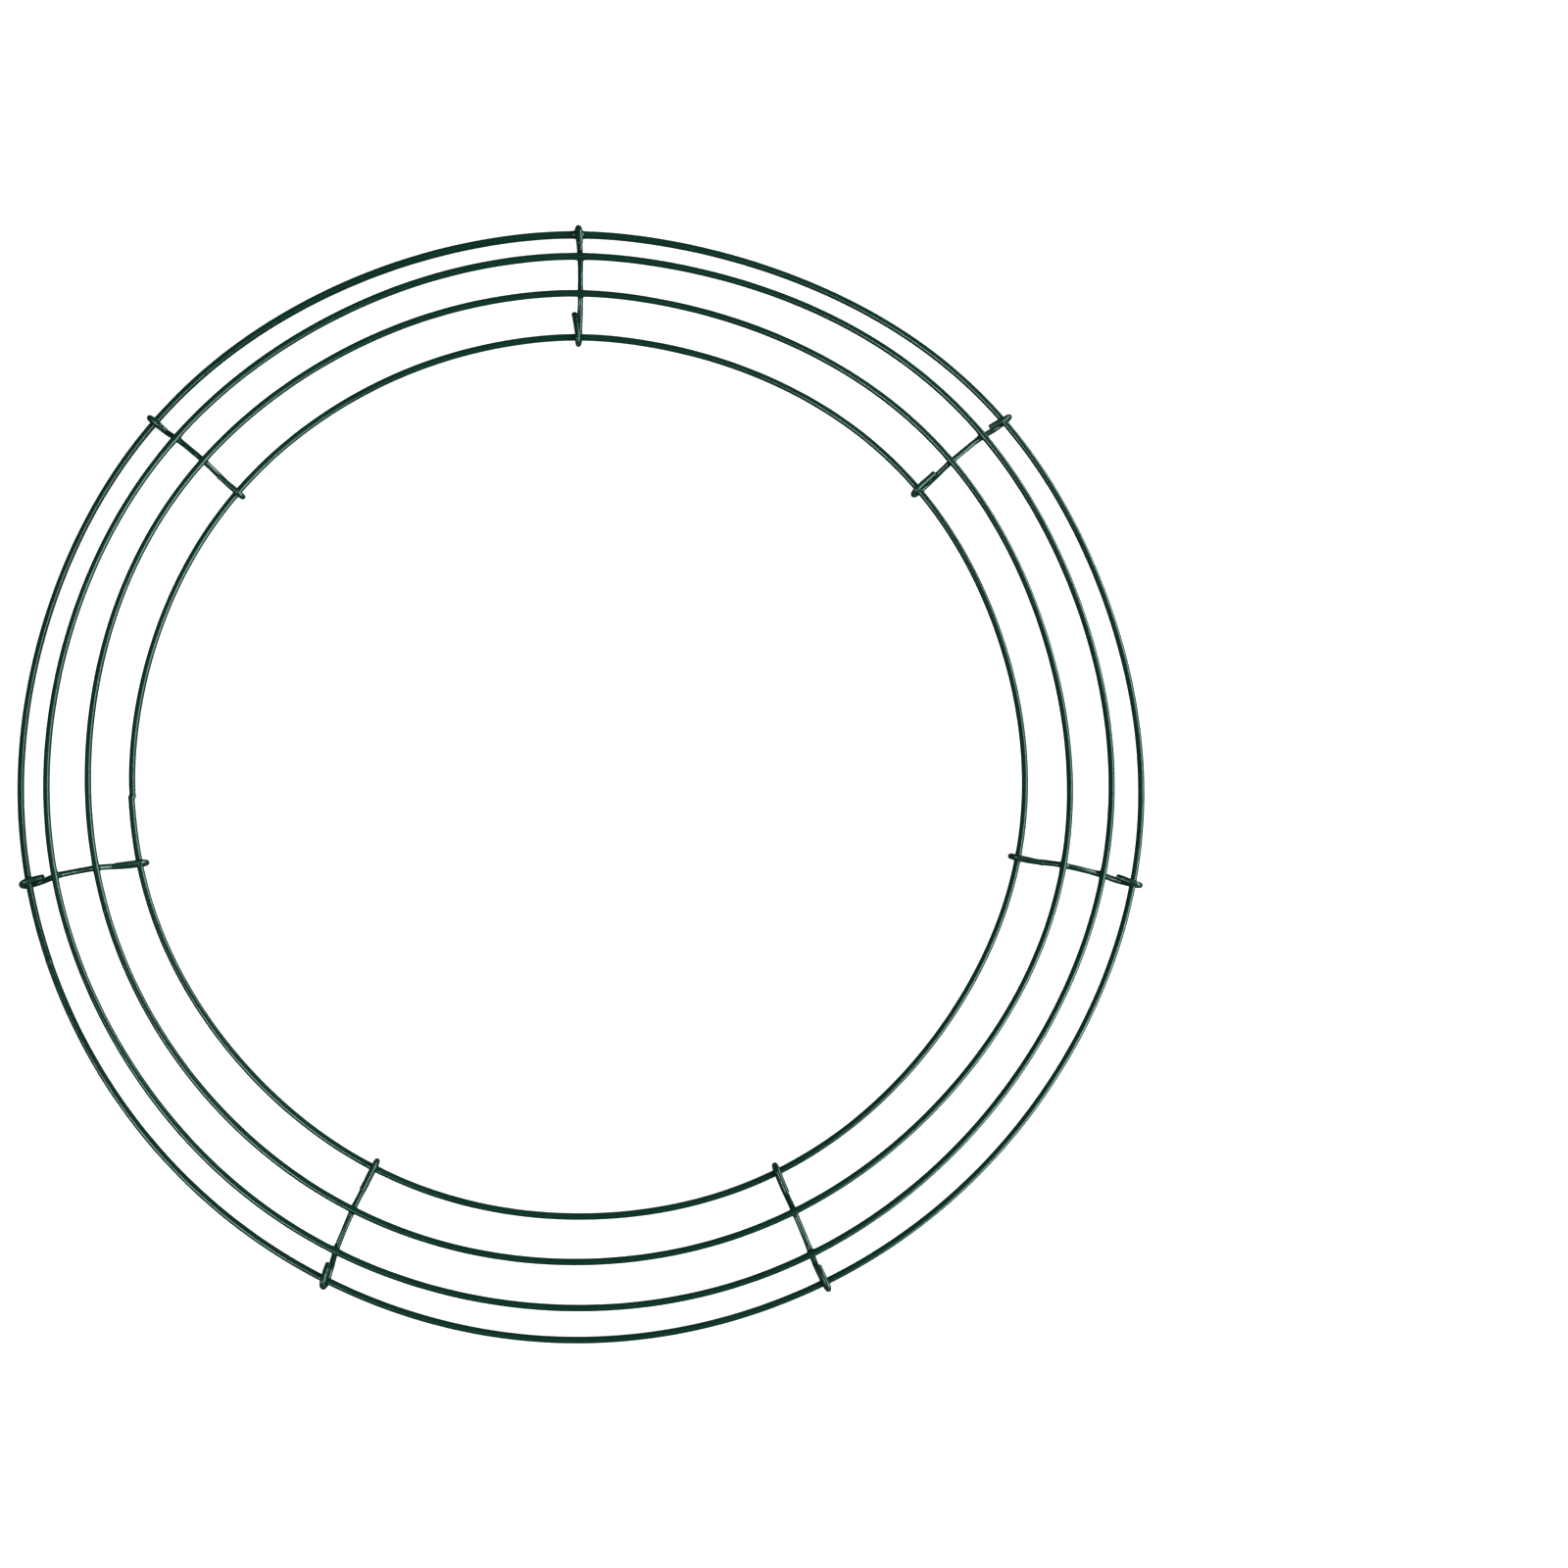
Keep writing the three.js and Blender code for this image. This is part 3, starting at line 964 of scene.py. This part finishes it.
hoopCoat = {
    "Wire Radius": hoopWire["radius"],
    "Sides": 20,
    "Other Wires": allBars,
    "Other Radius": crossbarShape["wireRadius"] - overlap,
    "Straight Run": nothing,
    "Folded Ends": nothing,
    "Pool Size": 0.46 * mm,
    "Lump Size": 7 * mm,
    "Lump Height": 0.035 * mm,
    "Grain Size": 1.6 * mm,
    "Grain Height": 0.008 * mm,
    "Nib Density": 2500.0,
    "Nib Radius": 0.11 * mm,
    "Material": ringEnamel,
}
barCoat = {
    "Wire Radius": crossbarShape["wireRadius"],
    "Sides": 22,
    "Other Wires": allHoops,
    "Other Radius": hoopWire["radius"] * hoopWire["coat"] - overlap,
    "Pool Size": 0.46 * mm,
    "Lump Size": 2.8 * mm,
    "Lump Height": 0.07 * mm,
    "Grain Size": 0.75 * mm,
    "Grain Height": 0.022 * mm,
    "Nib Density": 60000.0,
    "Nib Radius": 0.12 * mm,
    "Material": crossbarEnamel,
}
firstHoopSeed = 1
firstBarSeed = 11


def layWire(name, line, settings):
    # Runs the node tree on a line and keeps the result as a plain mesh.
    holder = line.copy()
    holder.data = line.data.copy()
    scene.collection.objects.link(holder)
    modifier = holder.modifiers.new("coatedWire", "NODES")
    modifier.node_group = coatedWire
    takes = [item for item in coatedWire.interface.items_tree if item.in_out == "INPUT"]
    sockets = {item.name: item.identifier for item in takes}
    for label, value in settings.items():
        modifier[sockets[label]] = value
    holder.update_tag()
    bpy.context.view_layer.update()
    graph = bpy.context.evaluated_depsgraph_get()
    mesh = bpy.data.meshes.new_from_object(holder.evaluated_get(graph), depsgraph=graph)
    holder.modifiers.remove(modifier)
    bpy.data.objects.remove(holder)
    mesh.name = name
    for label in ("middle", "skinRadius", "fold", "coat", "poolShare"):
        if label in mesh.attributes:
            mesh.attributes.remove(mesh.attributes[label])
    piece = bpy.data.objects.new(name, mesh)
    scene.collection.objects.link(piece)
    print(name, len(mesh.polygons), "faces")
    return piece


pieces = []
for seed, (node, line) in enumerate(hoopLines.items(), firstHoopSeed):
    piece = layWire(hoops[node]["name"], line, {**hoopCoat, "Seed": seed})
    pieces.append((piece, node, "ring_enamel"))
for seed, (node, lines) in enumerate(barLines.items(), firstBarSeed):
    settings = {**barCoat, "Seed": seed, "Straight Run": lines["run"], "Folded Ends": lines["ends"]}
    settings["Fold Slack"] = crossbars[node]["slack"] * mm
    piece = layWire("crossbarWire" + node[-1], lines["main"], settings)
    pieces.append((piece, node, "crossbar_enamel"))

for line in [*hoopLines.values(), allHoops, allBars, nothing]:
    bpy.data.objects.remove(line)
for lines in barLines.values():
    for line in lines.values():
        bpy.data.objects.remove(line)

for piece, node, slot in pieces:
    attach(piece, "root")
    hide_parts(node)
print("wires in place")

studio = {
    "floorSize": 6.0,
    "floorColour": (0.8, 0.8, 0.8, 1),
    "floorGlow": 0.8,
    "floorBounce": (0.12, 0.12, 0.12, 1),  # the wires see a darker floor, so that their edges stay dark
    "paperWhite": (1, 1, 1, 1),
    "worldLight": 0.03,  # what the wires get from the white paper all round
    "worldPaper": 0.9,  # what the camera sees of it
}


def makeFloor():
    half = studio["floorSize"] / 2
    corners = [(-half, -half, 0), (half, -half, 0), (half, half, 0), (-half, half, 0)]
    mesh = bpy.data.meshes.new("floor")
    mesh.from_pydata(corners, [], [(0, 1, 2, 3)])
    floor = bpy.data.objects.new("floor", mesh)
    scene.collection.objects.link(floor)
    material = bpy.data.materials.new("paleFloor")
    material.use_nodes = True
    material.node_tree.nodes.clear()
    bench = NodeBench(material.node_tree)
    paint = bench.add("ShaderNodeBsdfDiffuse", {"Color": studio["floorColour"]}).outputs[0]
    inputs = {"Color": studio["paperWhite"], "Strength": studio["floorGlow"]}
    glow = bench.add("ShaderNodeEmission", inputs).outputs[0]
    lit = bench.add("ShaderNodeAddShader", {0: paint, 1: glow}).outputs[0]
    dim = bench.add("ShaderNodeBsdfDiffuse", {"Color": studio["floorBounce"]}).outputs[0]
    seen = bench.add("ShaderNodeLightPath").outputs["Is Camera Ray"]
    mixed = bench.add("ShaderNodeMixShader", {0: seen, 1: dim, 2: lit}).outputs[0]
    bench.add("ShaderNodeOutputMaterial", {0: mixed})
    mesh.materials.append(material)


def makeSurround():
    world = bpy.data.worlds.new("studio")
    world.use_nodes = True
    world.node_tree.nodes.clear()
    bench = NodeBench(world.node_tree)
    seen = bench.add("ShaderNodeLightPath").outputs["Is Camera Ray"]
    inputs = {0: seen, 2: studio["worldLight"], 3: studio["worldPaper"]}
    strength = bench.add("ShaderNodeMix", inputs).outputs[0]
    inputs = {"Color": studio["paperWhite"], "Strength": strength}
    sky = bench.add("ShaderNodeBackground", inputs).outputs[0]
    bench.add("ShaderNodeOutputWorld", {0: sky})
    scene.world = world


# place: azimuth (0 to the right, 90 away from the camera's side) and elevation in degrees, and distance in
# metres. size: width and height in metres. mirrored: whether it shows as a streak on the wires.
softboxes = {
    "rightSoftbox": dict(place=(-28, 21, 1.3), size=(1.1, 0.42), power=7.8, mirrored=True),
    "rightHighSoftbox": dict(place=(-5, 42, 1.3), size=(1.3, 0.24), power=10, mirrored=True),
    "leftSoftbox": dict(place=(218, 48, 1.3), size=(0.5, 0.28), power=5.6, mirrored=True),
    "backSoftbox": dict(place=(32, 20, 1.3), size=(0.5, 0.35), power=5, mirrored=True),
    "overheadFill": dict(place=(90, 89, 1.2), size=(1.5, 1.5), power=3.6, mirrored=False),
}


def hangSoftbox(name, box):
    # Faces the middle of the frame.
    azimuth, elevation = [math.radians(angle) for angle in box["place"][:2]]
    level = math.cos(elevation)
    way = Vector((math.cos(azimuth) * level, math.sin(azimuth) * level, math.sin(elevation)))
    spot = way * box["place"][2]
    light = bpy.data.lights.new(name, "AREA")
    light.shape = "RECTANGLE"
    light.size, light.size_y = box["size"]
    light.energy = box["power"]
    lamp = bpy.data.objects.new(name, light)
    lamp.location = spot
    lamp.rotation_mode = "QUATERNION"
    lamp.rotation_quaternion = (-spot).to_track_quat("-Z", "Y")
    lamp.visible_glossy = box["mirrored"]
    scene.collection.objects.link(lamp)


camera = {
    "height": 0.5478,
    "back": -0.0929,
    "sensorWidth": 36,
    "lens": 46.86,
    "shiftX": 0.1314,
    "shiftY": -0.0149,
    "clipStart": 0.01,
    "clipEnd": 50,
}


def setCamera():
    lens = bpy.data.cameras.new("camera")
    lens.sensor_width = camera["sensorWidth"]
    lens.lens = camera["lens"]
    lens.shift_x = camera["shiftX"]
    lens.shift_y = camera["shiftY"]
    lens.clip_start = camera["clipStart"]
    lens.clip_end = camera["clipEnd"]
    eye = bpy.data.objects.new("camera", lens)
    eye.location = (0, camera["back"], camera["height"])
    aim = Vector((0, 0, hoopHeight)) - eye.location
    eye.rotation_mode = "QUATERNION"
    eye.rotation_quaternion = aim.to_track_quat("-Z", "Y")
    scene.collection.objects.link(eye)
    scene.camera = eye
    scene.view_settings.view_transform = "Standard"


makeFloor()
makeSurround()
for name, box in softboxes.items():
    hangSoftbox(name, box)
setCamera()
print("studio set")
